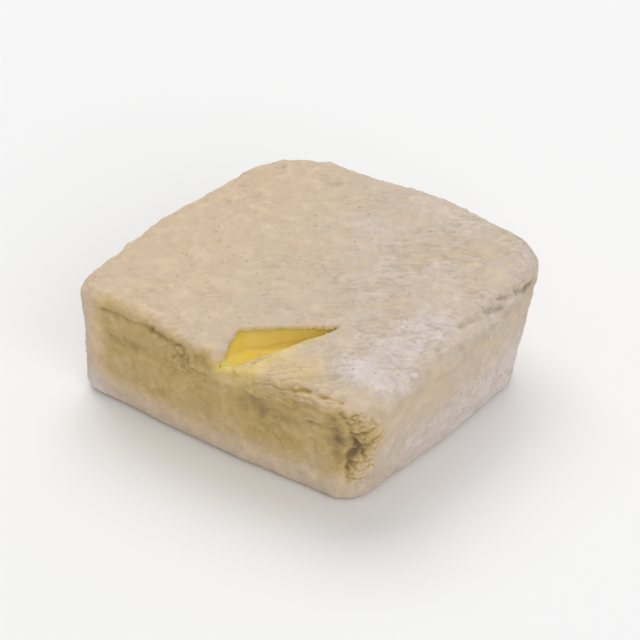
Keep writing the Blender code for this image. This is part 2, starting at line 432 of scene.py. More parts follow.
def blisters(points, normals):
    """Small blisters and pits at random seeds, thickest on the top's -X part."""
    distance, number = nearest_seed(points, 1.5, 21)
    blister = np.clip(1 - distance / 0.40, 0, 1) ** 1.2
    height = np.where(number > 0.5, 0.18, -0.18) * (np.abs(number - 0.5) > 0.16)
    where = 0.25 + 0.75 * ease(-points[:, 0], -1, 7) * facing(normals, 0, 0, 1)
    return height * blister * where


def pin_holes(points):
    """Small sharp pits at a few random seeds."""
    distance, number = nearest_seed(points, 1.7, 31)
    return -0.15 * np.clip(1 - distance / 0.14, 0, 1) * (number > 0.75)


def crease(points, normals, shape, seed):
    """One crease: a groove that is a bell in the distance from its line, with the coat rolled up above it.

    The distance is measured over the surface, from a line that wanders a little; the groove fades at both
    ends and is broken by random gaps.
    """
    start = np.array(shape.start)
    run = np.array(shape.end) - start
    along = np.clip((points - start) @ run / (run @ run), 0, 1)
    away = points - start - along[:, None] * run
    depth = (away * normals).sum(axis=-1, keepdims=True)
    away = away - depth * normals
    upwards = away[:, 2] - 0.16 * lumps(points * (1, 1, 0), 1.1, seed) - 0.06 * lumps(points * (1, 1, 0), 0.4, seed)
    flat = ease(facing(normals, 0, 0, 1), 0.75, 0.95)
    distance = np.where(flat > 0.5, np.linalg.norm(away, axis=-1), np.hypot(upwards, np.hypot(away[:, 0], away[:, 1])))
    ends = between(along, 0.08, 0.92, 0.08)
    broken = np.clip(0.75 + 0.6 * lumps(points, 1.6, seed + 1), 0.3, 1)
    near = (np.abs(depth[:, 0]) < 1.2) * ends
    groove = shape.depth * hump(distance, 0, shape.width) * broken
    roll = shape.roll * hump(upwards, 2.6 * shape.width, 1.8 * shape.width) * hump(distance, 0, 5 * shape.width)
    return (roll - groove) * near


def rolled_lip(points, normals, below):
    """The coat's edge rolled over the -Y rim: a bell above the rim's line and a hollow below it.

    Both swell and fade along the rim, whose line wanders, and stop at the nick.
    """
    x = points[:, 0]
    rim = points * (1, 0, 0)
    line = 0.85 + 0.20 * lumps(rim, 3.0, 41) + 0.08 * lumps(rim, 0.9, 42)
    strength = 0.75 + 0.35 * lumps(rim, 2.2, 43)
    shape = 0.15 * hump(below, line - 0.45, 0.40) - 0.26 * hump(below, line + 0.50, 0.50)
    along = between(x, -12.0, 12.0, 1.2) * (1 - hump(x, 0.4, 1.4))
    return shape * strength * along * facing(normals, 0, -1, 0.35)


def rim_folds(points, normals, below):
    """Soft folds along every rim: furrows of lumps drawn out sideways, in patches."""
    drawn = points * (0.45, 0.45, 1.0)
    patches = ease(lumps(points, 4.5, 44), -0.05, 0.45)
    zone = between(below, 0.5, 3.2, 0.8) * (1 - facing(normals, 0, 0, 1)) * (1 - 0.6 * facing(normals, 0, -1, 0))
    return 0.14 * furrows(drawn, 1.2, 45) * patches * zone


def mouth_frill(points, normals):
    """The crumpled coat round the nick's mouth: a lobe bulging over the rim, gathered into curls on its -X side.

    Gives its relief, and how deep in a valley of the curls each point lies, from 0 to 1.
    """
    x = points[:, 0]
    z = points[:, 2]
    front = facing(normals, 0, -1, 0.2)
    lobe = 0.34 * hump(x, 1.6, 3.4) * hump(z, 9.5, 0.95)
    hollow = -0.26 * hump(x, 3.4, 4.2) * hump(z, 7.6, 0.9)
    zone = hump(x, -2.8, 2.4) * hump(z, 8.7, 1.5) * front
    large = furrows(points * (1, 1, 1.2), 1.15, 51) * zone
    small = furrows(points, 0.55, 52) * zone
    return (lobe + hollow) * front + 0.20 * zone + 0.32 * large + 0.20 * small, -0.7 * large - 0.45 * small


def corner_fold(points, normals):
    """The pinched corner at (+X, -Y): a groove that wanders down it, and the coat bunched up on its +X side.

    The groove is a bell in the distance sideways from its line, deepest and widest at mid height. Furrows,
    flattened in height, crinkle the bunched coat. Gives the relief, and how deep in a valley each point lies.
    """
    z = points[:, 2]
    towards = ease(facing(normals, 0.6, -0.8, 0), 0.35, 0.8)
    sideways = points @ SIDEWAYS
    across, heights = np.array(CORNER_GROOVE[::-1]).T
    line = np.interp(z, heights, across) + 0.22 * lumps(points * (0, 0, 1), 1.1, 61)
    tall = between(z, 3.0, 10.0, 0.9)
    groove = (0.24 + 0.06 * hump(z, 6.2, 1.6)) * hump(sideways, line, 0.26 + 0.14 * hump(z, 6.0, 1.4)) * tall
    speck, _ = nearest_seed(points, 0.75, 66)
    specks = np.clip(1 - speck / 0.45, 0, 1)
    pit = hump(sideways, line + 0.1 + 0.35 * lumps(points, 0.9, 65), 0.85) * hump(z, 5.5, 1.7)
    pit *= 0.75 + 0.5 * lumps(points, 0.6, 67)
    zone = between(sideways, line + 0.15, line + 2.2, 0.5) * between(z, 2.4, 9.6, 1.2)
    warped = points + 0.25 * lumps(points, 1.0, 64)[:, None]
    large = furrows(warped * (0.65, 0.65, 1.5), 1.05, 62) * zone * towards
    small = furrows(warped * (0.75, 0.75, 1.4), 0.62, 63) * zone * towards
    bunched = 0.22 * between(sideways, line + 0.4, line + 1.8, 0.8) * tall
    crinkled = hump(sideways, line + 0.3, 1.5) * tall * towards
    valley = np.clip(-0.45 * large - 0.5 * small + (0.75 * pit + 0.9 * groove) * towards, 0, 0.9)
    valley = np.clip(valley + 0.3 * specks * crinkled, 0, 0.95)
    relief = 0.20 * large + 0.20 * small + (bunched - groove - 0.22 * pit) * towards
    return relief - 0.12 * specks * crinkled, valley


def front_wrinkles(points, normals, below):
    """Fine wrinkles along the -Y rim between the nick and the pinched corner: furrows of lumps drawn out in X."""
    drawn = (points + 0.3 * lumps(points, 1.4, 47)[:, None]) * (0.30, 0.6, 1.5)
    zone = between(points[:, 0], 2.5, 11.0, 1.5) * between(below, 0.3, 2.4, 0.7) * facing(normals, 0, -1, 0.35)
    return 0.20 * furrows(drawn, 0.75, 46) * zone


def crumbled_rim(points, normals, below):
    """The +X rim's crumbled coat: small lumps and pits at random seeds, drawn out along the rim."""
    distance, number = nearest_seed(points * (1.2, 0.6, 1.2), 0.8, 71)
    bump = np.clip(1 - distance / 0.5, 0, 1)
    height = np.where(number > 0.45, 0.16, -0.30)
    zone = between(below, 0.15, 1.3, 0.5) * between(points[:, 1], -6.0, 9.5, 2.5) * facing(normals, 1, 0, 0.8)
    return height * bump * zone * (np.abs(number - 0.45) > 0.12)


def coat_relief(form):
    """The coat's relief, how far its fine parts stand up, and how deep in a crease or a valley each point lies.

    The last is from 0 to 1: powder is thin there, and the coat darkens there, both as damp bare coat and as painted
    shade of the hollow.
    """
    points = form.points
    normals = form.normals
    below = below_rim(points)
    fine = pressed_powder(points, normals) + blisters(points, normals) + pin_holes(points)
    fine += wrinkles(points, normals)
    soft = swelling(points) + fine + rim_folds(points, normals, below)
    rims = rolled_lip(points, normals, below) + crumbled_rim(points, normals, below)
    rims += front_wrinkles(points, normals, below)
    cracks = sum(crease(points, normals, shape, 200 + 2 * seed) for seed, shape in enumerate(CREASES))
    frill, frill_valley = mouth_frill(points, normals)
    fold, fold_valley = corner_fold(points, normals)
    valley = 0.58 * ease(-cracks, 0.05, 0.36) + 0.45 * ease(-rims, 0.14, 0.42) + 0.9 * frill_valley + fold_valley
    return soft + rims + cracks + frill + fold, fine, np.clip(valley, 0, 1)


def opened(points):
    """Where the nick has laid the jelly bare, from 0 to 1.

    The nick's depth, made ragged by lumps and eased over half a millimetre, so that the coat thins out
    towards the jelly; powder has fallen back over its gentle slope.
    """
    share, across = nick_place(points[:, :2])
    ragged = 1 + 0.4 * lumps(points, 0.9, 91) + 0.2 * lumps(points, 0.45, 92)
    fallen = ease(across, 0.45, 1.0) * np.clip(0.20 + 0.40 * lumps(points, 0.8, 93), 0, 1)
    fallen += 0.55 * hump(share, 0.88, 0.10) * (1 - ease(across, 0.15, 0.45))
    near_top = 1 - ease(below_rim(points), 0.5, 1.2)
    return ease(nick_cut(points[:, :2]) * ragged - fallen, 0.0, 0.45) * near_top


def stain(form):
    """How much of the jelly's yellow the coat has taken: most where it runs out, and a little round the +X lip."""
    x, y, z = form.points.T
    share, across = nick_place(form.points[:, :2])
    near_top = 1 - ease(below_rim(form.points), 0.5, 1.4)
    lip = 0.50 * between(across, 0.55, 1.02, 0.35) * ease(share, 0.03, 0.2) * near_top
    wall = 0.40 * ease(nick_cut(form.points[:, :2]), 0.15, 0.7) * near_top
    beyond = 0.20 * hump(np.hypot((x - 5.0) / 3.6, (y + 10.8) / 2.4), 0, 1) * facing(form.normals, 0, 0, 1)
    lobe = 0.28 * hump(np.hypot((x - 1.6) / 1.7, (z - 9.3) / 1.3), 0, 1) * facing(form.normals, 0, -1, 0.3)
    bare = 0.8 * ease(opened(form.points), 0.0, 0.6)
    return np.max([bare, lip, wall, beyond, lobe], axis=0)


def shaded_crease_side(form):
    """1 on the +X side and its rim, where the creases get grey painted shade instead of the damp colour, and 0
    elsewhere.
    """
    return facing(form.normals, 1, 0, 0.6) * ease(form.points[:, 1], -7.0, -5.0)


def shading(form, fine, valley):
    """How light the coat is for its colour: painted light and shade of the relief, raised powder lighter and hollows
    darker, where raised powder is also drier and whiter; and painted shade under the +X rim, in its creases and on the
    top's far +X part.
    """
    y, z = form.points[:, 1:].T
    right = facing(form.normals, 1, 0, 0)
    # Painted shade: a band under the +X rim, and under its folds near the front corner.
    under_rim = 0.07 * right * hump(z, 9.7, 1.1) + 0.05 * right * hump(np.hypot((y + 11.0) / 1.8, (z - 8.0) / 1.6), 0, 1)
    # Painted shade on the top's far +X part.
    far = 0.03 * facing(form.normals, 0, 0, 1) * hump(np.hypot((form.points[:, 0] - 7.4) / 2.6, (y - 9.3) / 2.2), 0, 1)
    # Painted shade in the creases of the +X side.
    shadow = under_rim + far + 0.68 * valley * shaded_crease_side(form)
    strength = 1.1 - 0.5 * facing(form.normals, 0, 0, 1) * (1 - ease(form.points[:, 0], -3, 8))
    # Painted light and shade of the relief: raised powder lighter, hollows darker; raised powder is also drier and
    # whiter.
    return np.clip(1 + strength * (fine - fine.mean()), 0.8, 1.2) - shadow


def fallen_powder(points):
    """How thickly powder covers the bared jelly: thin flecks that thicken towards the nick's +X lip and mouth."""
    share, across = nick_place(points[:, :2])
    patchy = 0.30 * lumps(points, 0.8, 95) + 0.25 * lumps(points, 0.35, 96)
    mouth = ease(below_rim(points), 0.3, 1.6)
    return ease(across + 0.30 * mouth + patchy, 0.75, 1.30)


def dusting(form, valley):
    """How thick the powder lies, from 0, bare and damp, to 1, thick and white.

    It lies on what faces up, thins on the -Y side, gathers in patches on the top and along the +X side's
    lower edge, and is missing from the creases, where the darker colour is partly painted shade. Thinner
    powder under the -Y rim and its lobe, in the pinched corner, under the +X rim near the front corner and
    on the top's far +X part is painted shade; lighter powder on the top's -X part and at the -Y side's -X
    end is partly painted light.
    """
    points = form.points
    normals = form.normals
    x, y, z = points.T
    up = facing(normals, 0, 0, 1)
    front = facing(normals, 0, -1, 0)
    right = facing(normals, 1, 0, 0)
    left = 1 - ease(x, -10, 6)
    calm = 1 - ease(x, -3, 8)
    # The top's -X part has thinner, warmer and lighter powder: a thinner coat, and painted light from the -X side.
    thick = 0.50 - 0.31 * front + 0.04 * right + 0.15 * up - 0.20 * up * left
    # Lighter low on the -Y side and at its -X end: thicker powder, and at the -X end painted light from the -X side.
    thick += 0.38 * front * (1 - ease(z, 0.2, 3.8)) + 0.30 * front * (1 - ease(x, -13.6, -10.6))
    thick += 0.16 * front * (1 - ease(z, 1.8, 4.4)) * (1 - ease(x, -12.5, -8.0))
    # Painted shade under the -Y rim's lip on its -X part: thinner, darker powder.
    thick -= 0.035 * front * hump(z, 7.5, 2.0) * (1 - ease(x, -5, -1))
    thick += 0.08 * up * ease(y, 8.0, 12.0)
    thick += 0.08 * front * hump(x, 8.6, 2.0) * (1 - ease(z, 3.0, 6.0))
    thick += 0.10 * front * hump(x, 1.4, 2.4) * hump(z, 9.2, 0.9)
    thick += 0.34 * right * (1 - ease(z, 2.2, 7.8)) * ease(y, -14, -3) + 0.07 * right * ease(y, -6, 6)
    thick += 0.14 * lumps(points, 5.0, 101) * up * (1 - 0.85 * calm)
    thick += (0.08 - 0.04 * front - 0.06 * up * calm) * lumps(points, 2.2, 103)
    thick += (0.09 - 0.05 * front - 0.06 * up * calm) * lumps(points, 0.9, 102)
    # Painted shade under the lobe at the nick's mouth: thinner, darker powder.
    thick -= 0.10 * front * hump(x, 4.4, 3.0) * hump(z, 6.8, 2.3)
    # Painted shade under the +X rim's folds near the front corner: thinner, darker powder.
    thick -= 0.16 * right * hump(np.hypot((y + 11.0) / 1.9, (z - 8.0) / 1.7), 0, 1)
    thick += 0.04 * hump(below_rim(points), 1.0, 1.0) * facing(normals, 0.8, 0, 0.6) * ease(x, 11, 13)
    # Painted shade in the pinched corner's crevice: thinner, darker powder.
    thick -= 0.15 * front * hump(points @ SIDEWAYS, 1.7, 0.9) * hump(z, 6.6, 3.2)
    beside_mouth = np.hypot((x + 0.1) / 1.1, (below_rim(points) - 0.2) / 0.7)
    thick -= 0.14 * hump(beside_mouth, 0, 1) * ease(-y, 12.0, 13.0)
    thick -= 0.20 * up * hump(np.hypot((x - 5.4) / 3.6, (y + 11.4) / 1.6), 0, 1)
    thick -= 0.14 * hump(np.hypot((x - 11.9) / 1.4, (y + 10.7) / 1.2), 0, 1) * ease(z, 9.0, 10.5)
    # Painted shade on the top's far +X part, with thinner powder there.
    thick -= 0.07 * up * hump(np.hypot((x - 7.4) / 2.6, (y - 9.3) / 2.2), 0, 1)
    patches = (((10.5, -8.7), (3.2, 1.5), 0.30), ((0.9, 6.4), (2.4, 1.5), 0.16), ((11.6, -4.4), (2.6, 5.0), 0.17))
    for (px, py), (across, deep), white in patches:
        patch = np.hypot((x - px) / across, (y - py) / deep) + 0.25 * lumps(points, 1.2, 104)
        thick += white * (1 - ease(patch, 0.2, 1.5)) * up
    # Creases, pits and the hollow under the lip darken towards the damp colour: damp bare coat, and painted shade of
    # the hollow.
    damp_and_shaded = valley * (1 - 0.85 * shaded_crease_side(form))
    thick *= 1 - damp_and_shaded
    thick -= 0.9 * np.clip(thick - 0.1, 0, 1) * ease(damp_and_shaded, 0.2, 0.55)
    thick += 0.12 * ease(nick_cut(points[:, :2]), 0.0, 0.05) * (1 - ease(below_rim(points), 0.0, 0.6))
    return np.clip(thick, 0, 1)


# Pieces.


def add_piece(name, points, faces, material):
    """A smooth-shaded mesh object at the origin, with its points given in metres."""
    mesh = bpy.data.meshes.new(name)
    mesh.from_pydata(points.astype(np.float32), [], faces)
    mesh.materials.append(material)
    mesh.shade_smooth()
    piece = bpy.data.objects.new(name, mesh)
    bpy.context.scene.collection.objects.link(piece)
    return piece


def paint(piece, name, values):
    """A value for each of the piece's points, which its material reads."""
    layer = piece.data.attributes.new(name, "FLOAT", "POINT")
    layer.data.foreach_set("value", values.astype(np.float32))


def painted(piece, name):
    """The values that paint gave a piece."""
    values = np.empty(len(piece.data.vertices), np.float32)
    piece.data.attributes[name].data.foreach_get("value", values)
    return values


def scattered(piece, density, count, random):
    """Random places on a piece's four-sided faces, with the surface's normal at each.

    A face is chosen by its area times its density, and a place on it by two even random shares of its sides.
    """
    mesh = piece.data
    points = np.empty(len(mesh.vertices) * 3, np.float32)
    mesh.vertices.foreach_get("co", points)
    points = points.reshape(-1, 3)
    loops = np.empty(len(mesh.loops), np.int32)
    mesh.loops.foreach_get("vertex_index", loops)
    quads = loops[: 4 * (len(mesh.polygons) - 1)].reshape(-1, 4)
    a, b, c, d = (points[quads[:, i]] for i in range(4))
    crossed = np.cross(c - a, d - b)
    chance = np.linalg.norm(crossed, axis=-1) * density[quads].mean(axis=1)
    chosen = random.choice(len(quads), count, p=chance / chance.sum())
    u, v = random.random((2, count, 1))
    a, b, c, d = (corner[chosen] for corner in (a, b, c, d))
    return (a * (1 - u) + b * u) * (1 - v) + (d * (1 - u) + c * u) * v, unit(crossed[chosen])


def crumb_shapes(places, normals, sizes, random):
    """One small crumb at each place: two rings of five points and two poles, turned at random.

    Each point lies at the crumb's size from its middle, times a random share, and the crumb is a little
    flat and sunk along the normal.
    """
    count = len(places)
    lift = np.array([-1.0] + [-0.447] * 5 + [0.447] * 5 + [1.0])
    turn = np.concatenate([[0], np.arange(5) * 2 * np.pi / 5, (np.arange(5) + 0.5) * 2 * np.pi / 5, [0]])
    turns = turn + random.random((count, 1)) * 2 * np.pi
    reach = np.sqrt(1 - lift**2)
    side = unit(np.cross(normals, (0.31, 0.52, 0.80)))
    other = np.cross(normals, side)
    spokes = np.cos(turns)[..., None] * side[:, None] + np.sin(turns)[..., None] * other[:, None]
    shape = spokes * reach[:, None] + normals[:, None] * (0.6 * lift[:, None] + 0.15)
    rough = 0.72 + 0.5 * random.random((count, 12, 1))
    points = places[:, None] + shape * rough * sizes[:, None, None]
    ring = np.arange(5)
    after = (ring + 1) % 5
    faces = np.concatenate([
        np.stack([np.zeros(5, int), 1 + after, 1 + ring], axis=-1),
        np.stack([1 + ring, 1 + after, 6 + ring], axis=-1),
        np.stack([1 + after, 6 + after, 6 + ring], axis=-1),
        np.stack([6 + ring, 6 + after, np.full(5, 11)], axis=-1),
    ])
    every = faces[None] + 12 * np.arange(count)[:, None, None]
    return points.reshape(-1, 3), every.reshape(-1, 3)


# Materials.


def linear(hex_colour):
    """An sRGB hex colour as linear red, green, blue and alpha."""
    parts = [int(hex_colour[i : i + 2], 16) / 255 for i in (1, 3, 5)]
    return (*[p / 12.92 if p <= 0.04045 else ((p + 0.055) / 1.055) ** 2.4 for p in parts], 1.0)


def new_material(name, roughness, ior):
    """A material with its shader, ready for its colour and bump."""
    material = bpy.data.materials.new(name)
    material.use_nodes = True
    shader = material.node_tree.nodes["Principled BSDF"]
    shader.inputs["Roughness"].default_value = roughness
    shader.inputs["IOR"].default_value = ior
    return material, shader


def node(material, kind, inputs, **settings):
    """Adds one node. An input is a constant, or the socket of another node that feeds it."""
    tree = material.node_tree
    made = tree.nodes.new(kind)
    for key, value in settings.items():
        setattr(made, key, value)
    for key, value in inputs.items():
        if isinstance(value, bpy.types.NodeSocket):
            tree.links.new(value, made.inputs[key])
        else:
            made.inputs[key].default_value = value
    return made


def coat_material(finish, jelly):
    """Starch and icing sugar pressed on to moist jelly, which soaks the thinnest of it.

    Dry powder scatters light softly and has no shine. Where it lies thick it is almost white; where it is
    thin the lemon jelly shows through it, and a bare crease is damp and brownish, its darker colour partly
    painted shade. Where it runs out over the nick it takes the jelly's own yellow. The shade attribute
    multiplies in painted light and shade.
    """
    material, shader = new_material("starch_and_sugar_coat", 0.85, 1.5)
    shader.inputs["Specular IOR Level"].default_value = 0.25
    shader.inputs["Subsurface Weight"].default_value = 0.15
    shader.inputs["Subsurface Radius"].default_value = (1.0, 0.6, 0.3)
    shader.inputs["Subsurface Scale"].default_value = 0.7 * MM
    place = node(material, "ShaderNodeTexCoord", {}).outputs["Object"]
    dust = node(material, "ShaderNodeAttribute", {}, attribute_name="dusting").outputs["Fac"]
    clumps = node(material, "ShaderNodeTexNoise", {"Vector": place, "Scale": 1 / (0.45 * MM), "Detail": 4.0,
                                                   "Roughness": 0.65}).outputs["Fac"]
    # Icing sugar is under 0.05 mm a grain, too fine to show, so it is drawn about 0.14 mm apart.
    grains = node(material, "ShaderNodeTexNoise", {"Vector": place, "Scale": 1 / (0.14 * MM), "Detail": 2.0,
                                                   "Roughness": 0.6}).outputs["Fac"]
    fine = node(material, "ShaderNodeMath", {0: grains, 1: 0.7, 2: 0.15}, operation="MULTIPLY_ADD").outputs[0]
    uneven = node(material, "ShaderNodeMath", {0: clumps, 1: 1.0, 2: fine}, operation="MULTIPLY_ADD").outputs[0]
    thick = node(material, "ShaderNodeMath", {0: uneven, 1: dust}, operation="MULTIPLY").outputs[0]
    ramp = node(material, "ShaderNodeValToRGB", {"Fac": thick})
    stops = ramp.color_ramp.elements
    stops[0].position = 0.02
    stops[0].color = linear(finish.damp)
    stops[1].position = 0.95
    stops[1].color = linear(finish.thick)
    for position, colour in ((0.16, finish.thin), (0.40, finish.warm), (0.62, finish.even)):
        stops.new(position).color = linear(colour)
    stained = node(material, "ShaderNodeAttribute", {}, attribute_name="stain").outputs["Fac"]
    shade = node(material, "ShaderNodeAttribute", {}, attribute_name="shade").outputs["Fac"]
    lemon = node(material, "ShaderNodeMix", {"Factor": stained, 6: ramp.outputs["Color"], 7: linear(jelly)},
                 data_type="RGBA")
    # Colour times shade: painted light and shade of the relief, and painted shade under the +X rim and in its creases;
    # raised powder is also drier and whiter than the hollows between.
    colour = node(material, "ShaderNodeMix", {"Factor": 1.0, 6: lemon.outputs[2], 7: shade}, data_type="RGBA",
                  blend_type="MULTIPLY")
    tree = material.node_tree
    tree.links.new(colour.outputs[2], shader.inputs["Base Color"])
    bump = node(material, "ShaderNodeBump", {"Height": grains, "Strength": 0.6, "Distance": 0.08 * MM})
    clump_bump = node(material, "ShaderNodeBump", {"Height": clumps, "Strength": 0.5, "Distance": 0.12 * MM,
                                                   "Normal": bump.outputs["Normal"]})
    tree.links.new(clump_bump.outputs["Normal"], shader.inputs["Normal"])
    return material


def jelly_material(finish, powder):
    """Lemon lokum: sugar and starch boiled to a clear, chewy jelly and cut with a knife.

    It glows deep yellow because light travels millimetres inside it, and its cut face is moist and a little
    shiny. Powder that has fallen on it hides its colour and its shine.
    """
    material, shader = new_material("lemon_jelly", 0.38, 1.45)
    shader.inputs["Subsurface Weight"].default_value = 0.8
    shader.inputs["Subsurface Radius"].default_value = (1.0, 0.7, 0.12)
    shader.inputs["Subsurface Scale"].default_value = 1.6 * MM
    place = node(material, "ShaderNodeTexCoord", {}).outputs["Object"]
    cloud = node(material, "ShaderNodeTexNoise", {"Vector": place, "Scale": 1 / (1.4 * MM), "Detail": 3.0})
    jelly = node(material, "ShaderNodeMix", {"Factor": cloud.outputs["Fac"], 6: linear(finish.deep),
                                             7: linear(finish.clear)}, data_type="RGBA").outputs[2]
    dust = node(material, "ShaderNodeAttribute", {}, attribute_name="dusting").outputs["Fac"]
    colour = node(material, "ShaderNodeMix", {"Factor": dust, 6: jelly, 7: linear(powder)}, data_type="RGBA")
    dull = node(material, "ShaderNodeMapRange", {"Value": dust, "To Min": 0.38, "To Max": 0.85})
    ripple = node(material, "ShaderNodeTexNoise", {"Vector": place, "Scale": 1 / (0.5 * MM), "Detail": 2.0})
    bump = node(material, "ShaderNodeBump", {"Height": ripple.outputs["Fac"], "Strength": 0.3,
                                             "Distance": 0.1 * MM})
    tree = material.node_tree
    tree.links.new(colour.outputs[2], shader.inputs["Base Color"])
    tree.links.new(dull.outputs["Result"], shader.inputs["Roughness"])
    tree.links.new(bump.outputs["Normal"], shader.inputs["Normal"])
    return material


def grain_material(grains):
    """Icing sugar and starch that have caked into crumbs: matt, off-white, and slightly see-through."""
    material, shader = new_material("caked_icing_sugar", 0.8, 1.5)
    shader.inputs["Subsurface Weight"].default_value = 0.3
    shader.inputs["Subsurface Radius"].default_value = (1.0, 0.8, 0.6)
    shader.inputs["Subsurface Scale"].default_value = 0.3 * MM
    place = node(material, "ShaderNodeTexCoord", {}).outputs["Object"]
    shade = node(material, "ShaderNodeTexNoise", {"Vector": place, "Scale": 1 / (0.6 * MM), "Detail": 2.0})
    colour = node(material, "ShaderNodeMix", {"Factor": shade.outputs["Fac"], 6: linear(grains.dull),
                                              7: linear(grains.bright)}, data_type="RGBA")
    material.node_tree.links.new(colour.outputs[2], shader.inputs["Base Color"])
    return material


def floor_material(stage):
    """White card, matt, with no pattern."""
    material, shader = new_material("white_card", 0.9, 1.45)
    shader.inputs["Base Color"].default_value = linear(stage.floor_colour)
    shader.inputs["Specular IOR Level"].default_value = 0.0
    return material


# Settings.


class BlockSizes(bpy.types.PropertyGroup):
    length: bpy.props.FloatProperty(
        name="Length", description="Overall size along X", default=HIGH.x - LOW.x, min=0.005, unit="LENGTH")
    width: bpy.props.FloatProperty(
        name="Width", description="Overall size along Y", default=HIGH.y - LOW.y, min=0.005, unit="LENGTH")
    height: bpy.props.FloatProperty(
        name="Height", description="Overall size along Z", default=HIGH.z - LOW.z, min=0.002, unit="LENGTH")
    coat_step: bpy.props.FloatProperty(
        name="Coat detail", description="Distance between the coat's points", default=0.155 * MM,
        min=0.05 * MM, unit="LENGTH", precision=6)
    jelly_step: bpy.props.FloatProperty(
        name="Jelly detail", description="Distance between the jelly's points", default=0.22 * MM,
        min=0.05 * MM, unit="LENGTH", precision=6)


class CoatFinish(bpy.types.PropertyGroup):
    depth: bpy.props.FloatProperty(
        name="Relief", description="Depth of the coat's folds, 1 as hand cut", default=1.0, min=0.0, subtype="FACTOR")
    # The damp colour also carries painted shade in the creases, pits and hollows.
    damp: bpy.props.StringProperty(
        name="Damp", description="Colour of bare, soaked coat, as sRGB hex", default="#806D4E")
    thin: bpy.props.StringProperty(
        name="Thin", description="Colour where the jelly shows through, as sRGB hex", default="#C3A870")
    warm: bpy.props.StringProperty(
        name="Warm", description="Colour of a light coat, as sRGB hex", default="#D8C1A3")
    even: bpy.props.StringProperty(
        name="Even", description="Colour of an even coat, as sRGB hex", default="#CEBDA9")
    thick: bpy.props.StringProperty(
        name="Thick", description="Colour of thick powder, as sRGB hex", default="#DACEC9")


class JellyFinish(bpy.types.PropertyGroup):
    sunk: bpy.props.FloatProperty(
        name="Sunk", description="How far the jelly lies under the coat", default=1.0 * MM, unit="LENGTH", precision=5)
    bared: bpy.props.FloatProperty(
        name="Bared", description="How far it lies under the cut in the nick", default=0.12 * MM, unit="LENGTH",
        precision=5)
    deep: bpy.props.StringProperty(
        name="Deep", description="Darker colour of the jelly, as sRGB hex", default="#DFB638")
    clear: bpy.props.StringProperty(
        name="Clear", description="Lighter colour of the jelly, as sRGB hex", default="#ECCD60")


class SugarGrains(bpy.types.PropertyGroup):
    on_coat: bpy.props.IntProperty(
        name="On the coat", description="Number of crumbs on the coat", default=3600, min=1)
    on_jelly: bpy.props.IntProperty(
        name="On the jelly", description="Number of crumbs in the nick", default=60, min=1)
    smallest: bpy.props.FloatProperty(
        name="Smallest", description="Radius of the smallest crumb", default=0.035 * MM, unit="LENGTH", precision=6)
    largest: bpy.props.FloatProperty(
        name="Largest", description="Radius of the largest crumb", default=0.12 * MM, unit="LENGTH", precision=6)
    dull: bpy.props.StringProperty(
        name="Dull", description="Darker colour of the crumbs, as sRGB hex", default="#CFBBA2")
    bright: bpy.props.StringProperty(
        name="Bright", description="Lighter colour of the crumbs, as sRGB hex", default="#DFD0BA")


class StageSettings(bpy.types.PropertyGroup):
    azimuth: bpy.props.FloatProperty(
        name="Azimuth", description="Camera's turn from looking along +Y", default=math.radians(36.5),
        subtype="ANGLE")
    elevation: bpy.props.FloatProperty(
        name="Elevation", description="Camera's height as an angle", default=math.radians(37.0), subtype="ANGLE")
    distance: bpy.props.FloatProperty(
        name="Distance", description="Camera to the block's middle", default=0.45, unit="LENGTH")
    fill: bpy.props.FloatProperty(
        name="Fill", description="Share of the view's width that the block's box takes", default=0.80,
        subtype="FACTOR")
    floor_colour: bpy.props.StringProperty(
        name="Floor", description="Colour of the floor, as sRGB hex", default="#F6F6F6")
    key_power: bpy.props.FloatProperty(
        name="Key light", description="Power of the large light overhead", default=1.86, unit="POWER")
    fill_power: bpy.props.FloatProperty(
        name="Fill light", description="Power of the weaker light on the camera's side", default=1.35, unit="POWER")
    ambient: bpy.props.FloatProperty(
        name="Ambient", description="Strength of the even light from all round", default=0.46)


# Operators.


class DELIGHT_OT_jelly(bpy.types.Operator):
    """Adds the lemon jelly inside the coat, close under the cut in the nick and well inside elsewhere"""

    bl_idname = "delight.add_jelly"
    bl_label = "Lemon Jelly"

    def execute(self, context):
        sizes = context.scene.delight_block
        finish = context.scene.delight_jelly
        form = block_form(sizes.jelly_step / MM)
        share, across = nick_place(form.points[:, :2])
        near = between(across, -0.04, 1.04, 0.12) * ease(share, 0.0, 0.03)
        near *= 1 - ease(below_rim(form.points), 0.6, 1.4)
        under = (finish.sunk + (finish.bared - finish.sunk) * near) / MM
        ripples = 0.05 * lumps(form.points, 1.1, 7) + swelling(form.points)
        points = form.points + form.normals * (ripples * near - under)[:, None]
        points[:, 2] = np.maximum(points[:, 2], 0.4)
        jelly = add_piece("lemon_jelly", fitted(points, form, sizes), form.quads.tolist() + [form.foot.tolist()],
                          jelly_material(finish, context.scene.delight_coat.warm))
        paint(jelly, "dusting", fallen_powder(form.points))
        paint(jelly, "bared", opened(form.points))
        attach(jelly, BODY)
        return {"FINISHED"}


